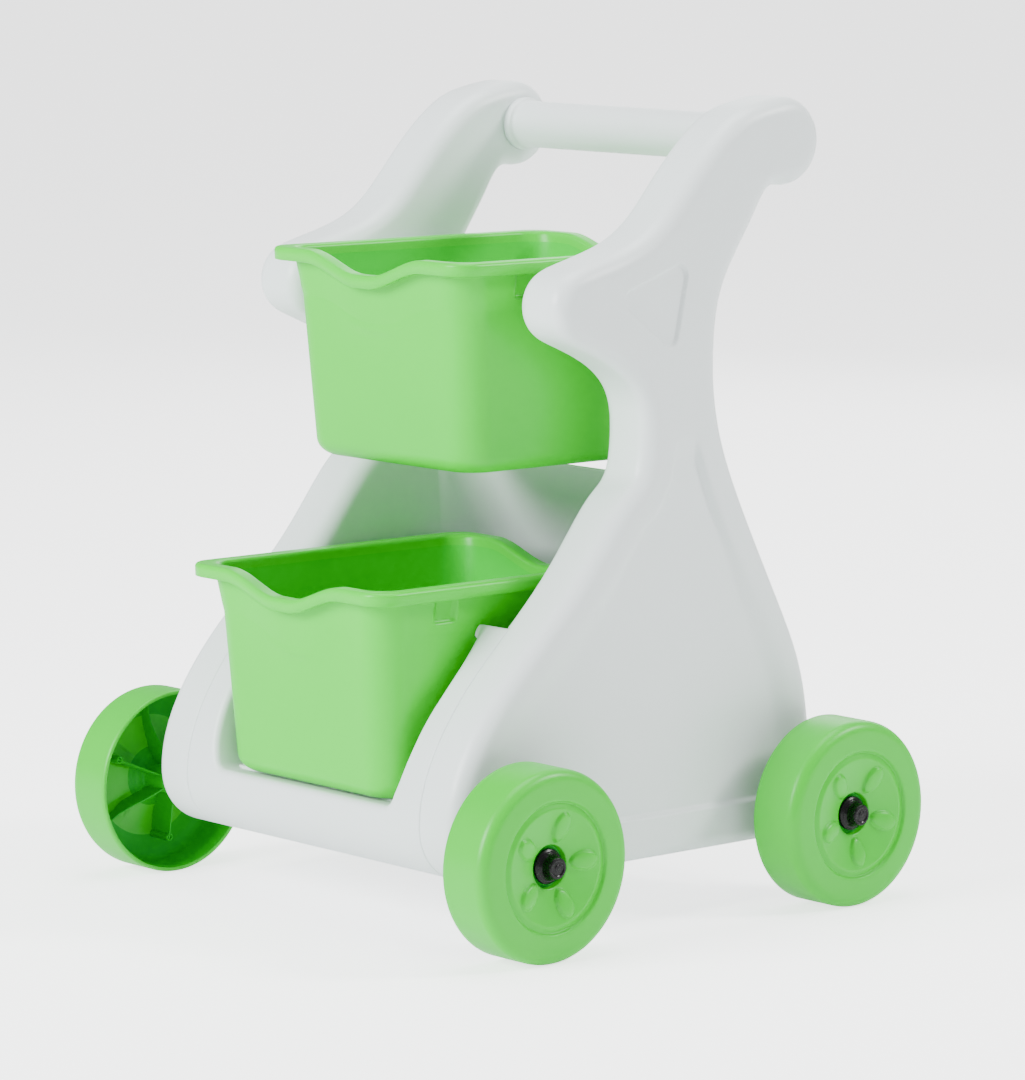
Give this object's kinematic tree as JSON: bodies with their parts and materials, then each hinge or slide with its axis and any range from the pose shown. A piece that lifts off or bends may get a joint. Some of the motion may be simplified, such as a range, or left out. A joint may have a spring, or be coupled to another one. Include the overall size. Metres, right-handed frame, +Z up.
{
  "type": "toddler push cart",
  "caption": "Child's push cart with two hollow side panels, a push bar, two lift-out bins and four free-turning wheels on steel axles.",
  "frame": {"origin": "on the ground, midway between the two axles and on the middle plane", "axes": "+X is the width, towards the panel named right, -Y is the front, where the lower bin pulls out, and +Z is up"},
  "size_m": [0.48, 0.444, 0.6],
  "materials": {
    "body_white": "cool white moulded polyethylene with a soft sheen",
    "bin_green": "light green moulded polypropylene with a soft sheen",
    "wheel_green": "green moulded plastic with a satin sheen",
    "axle_steel": "zinc-plated steel",
    "spacer_white": "natural nylon",
    "cap_black": "glossy black moulded plastic"
  },
  "bodies": {
    "frame": {"side_panel_left": "body_white", "side_panel_right": "body_white", "chassis_tub": "body_white", "handle_bar": "body_white", "front_axle": "axle_steel", "rear_axle": "axle_steel", "front_left_axle_spacer": "spacer_white", "front_right_axle_spacer": "spacer_white", "rear_left_axle_spacer": "spacer_white", "rear_right_axle_spacer": "spacer_white", "front_left_hub_washer": "axle_steel", "front_right_hub_washer": "axle_steel", "rear_left_hub_washer": "axle_steel", "rear_right_hub_washer": "axle_steel", "front_left_axle_cap": "cap_black", "front_right_axle_cap": "cap_black", "rear_left_axle_cap": "cap_black", "rear_right_axle_cap": "cap_black", "tub_screws_left": "axle_steel", "tub_screws_right": "axle_steel"},
    "upper_bin": {"upper_bin": "bin_green"},
    "lower_bin": {"lower_bin": "bin_green"},
    "front_left_wheel": {"front_left_wheel": "wheel_green"},
    "front_right_wheel": {"front_right_wheel": "wheel_green"},
    "rear_left_wheel": {"rear_left_wheel": "wheel_green"},
    "rear_right_wheel": {"rear_right_wheel": "wheel_green"}
  },
  "joints": [
    {"name": "front_left_wheel_spin", "type": "hinge", "parent": "frame", "child": "front_left_wheel", "pos_m": [-0.217, -0.152, 0.07], "axis": [1, 0, 0], "continuous": true},
    {"name": "front_right_wheel_spin", "type": "hinge", "parent": "frame", "child": "front_right_wheel", "pos_m": [0.217, -0.152, 0.07], "axis": [1, 0, 0], "continuous": true},
    {"name": "rear_left_wheel_spin", "type": "hinge", "parent": "frame", "child": "rear_left_wheel", "pos_m": [-0.217, 0.152, 0.07], "axis": [1, 0, 0], "continuous": true},
    {"name": "rear_right_wheel_spin", "type": "hinge", "parent": "frame", "child": "rear_right_wheel", "pos_m": [0.217, 0.152, 0.07], "axis": [1, 0, 0], "continuous": true},
    {"name": "upper_bin_lift", "type": "slide", "parent": "frame", "child": "upper_bin", "axis": [0, -0.7071, 0.7071], "range_m": [0, 0.24]},
    {"name": "lower_bin_pull", "type": "slide", "parent": "frame", "child": "lower_bin", "axis": [0, -0.9848, 0.1736], "range_m": [0, 0.24]}
  ]
}
